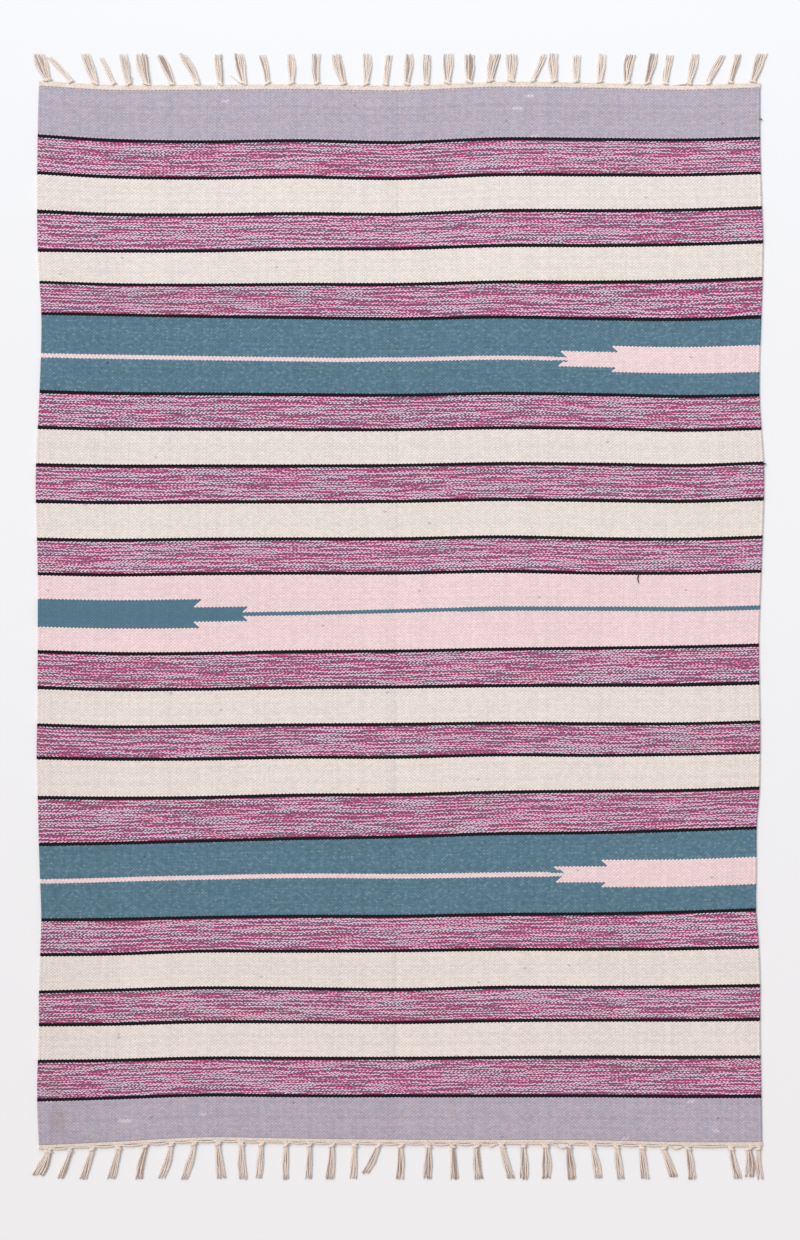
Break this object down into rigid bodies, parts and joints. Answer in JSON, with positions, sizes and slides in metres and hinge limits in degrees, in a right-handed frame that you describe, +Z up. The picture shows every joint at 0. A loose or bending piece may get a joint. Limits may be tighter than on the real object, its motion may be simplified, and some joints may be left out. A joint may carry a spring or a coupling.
{
  "type": "flat-woven striped kilim rug with knotted fringe",
  "caption": "Flat-woven cotton rug lying flat, striped across its width, with knotted warp tassels along both ends.",
  "frame": {"origin": "on the underside, at the middle of the woven cloth", "axes": "+Z up out of the rug's face, +Y along the warps to the far fringed end, +X across the warps to the right"},
  "size_m": [1.2213, 1.872, 0.0064],
  "materials": {
    "kilim_weft": "matt, weft-faced cotton weave in lilac, marled pink, cream, teal and black",
    "warp_cotton": "matt, unbleached cotton yarn"
  },
  "bodies": {
    "root": {"woven_field": "kilim_weft", "heading_fringe_far": "warp_cotton", "heading_fringe_near": "warp_cotton"}
  },
  "joints": []
}
